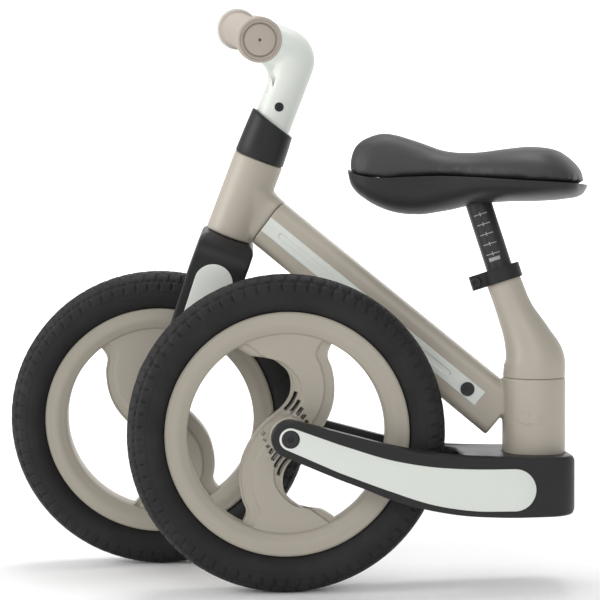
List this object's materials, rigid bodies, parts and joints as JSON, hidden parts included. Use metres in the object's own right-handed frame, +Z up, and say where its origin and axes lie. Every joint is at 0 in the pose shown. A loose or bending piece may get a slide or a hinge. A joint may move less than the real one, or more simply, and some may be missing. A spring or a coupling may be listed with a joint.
{
  "type": "folding balance bike",
  "caption": "Folding balance bike: sloping beam frame, steered front wheel and a rear wheel whose fork swings forward about a pivot below the seat; shown folded.",
  "frame": {"origin": "on the ground directly below the front axle", "axes": "+X towards the rear of the bike, +Y to the rider's right, +Z up"},
  "size_m": [0.5725, 0.3918, 0.57],
  "materials": {
    "frame_paint": "painted, satin",
    "wheel_nylon": "satin",
    "white_plastic": "satin",
    "black_plastic": "satin",
    "black_alloy": "painted satin black",
    "tyre_foam": "matte",
    "grip_rubber": "soft matte",
    "steel": "plain",
    "black_steel": "black oxide",
    "aluminium_black": "anodised black",
    "saddle_cover": "grained",
    "bearing_steel": "ground"
  },
  "bodies": {
    "frame": {"head_casting": "frame_paint", "main_beam": "frame_paint", "seat_tube": "frame_paint", "panel_left": "white_plastic", "panel_right": "white_plastic", "panel_bolts": "black_steel", "headset_bearing_lower": "bearing_steel", "headset_bearing_upper": "bearing_steel", "pivot_post": "steel", "pivot_bolt": "black_steel", "thrust_washer": "black_plastic", "seat_clamp": "black_plastic", "seat_clamp_bolt": "black_steel"},
    "steering": {"front_fork": "black_alloy", "front_inlay_left": "white_plastic", "front_inlay_right": "white_plastic", "steerer_tube": "steel", "steering_collar": "black_plastic", "stem": "white_plastic", "stem_bolt": "black_steel", "handlebar": "steel", "grip_left": "grip_rubber", "grip_right": "grip_rubber", "front_axle": "steel", "front_axle_bolts": "black_steel", "front_axle_washers": "steel"},
    "front_wheel_set": {"front_tyre": "tyre_foam", "front_wheel": "wheel_nylon", "front_bearings": "bearing_steel", "front_hub_spacer": "steel"},
    "rear_fork_set": {"rear_fork": "black_alloy", "rear_inlay_left": "white_plastic", "rear_inlay_right": "white_plastic", "rear_axle": "steel", "rear_axle_bolts": "black_steel", "rear_axle_washers": "steel", "pivot_bushes": "black_plastic", "lock_spring": "steel"},
    "rear_wheel_set": {"rear_tyre": "tyre_foam", "rear_wheel": "wheel_nylon", "rear_bearings": "bearing_steel", "rear_hub_spacer": "steel"},
    "lock": {"lock_plunger": "steel", "lock_button": "black_plastic"},
    "seat": {"seat_post": "aluminium_black", "saddle_shell": "black_plastic", "saddle_pad": "saddle_cover", "saddle_screws": "black_steel"}
  },
  "joints": [
    {"name": "steering_turn", "type": "hinge", "parent": "frame", "child": "steering", "pos_m": [0, 0, 0.15], "axis": [0.3746, 0, 0.9272], "range_deg": [-22.5, 27.5]},
    {"name": "front_wheel_spin", "type": "hinge", "parent": "steering", "child": "front_wheel_set", "pos_m": [0, 0, 0.15], "axis": [0.2788, -0.9537, -0.1126], "continuous": true},
    {"name": "rear_fold", "type": "hinge", "parent": "frame", "child": "rear_fork_set", "pos_m": [0.3775, 0, 0.0734], "axis": [0, 0, 1], "range_deg": [0, 160]},
    {"name": "rear_wheel_spin", "type": "hinge", "parent": "rear_fork_set", "child": "rear_wheel_set", "pos_m": [0.15479, -0.08106, 0.15], "axis": [-0.342, 0.9397, 0], "continuous": true},
    {"name": "lock_press", "type": "slide", "parent": "rear_fork_set", "child": "lock", "axis": [-0.9397, -0.342, 0], "range_m": [0, 0.004], "stiffness_N_per_m": 500, "springref_m": -0.004},
    {"name": "seat_height", "type": "slide", "parent": "frame", "child": "seat", "axis": [-0.3107, 0, 0.9505], "range_m": [-0.026, 0.016]}
  ]
}
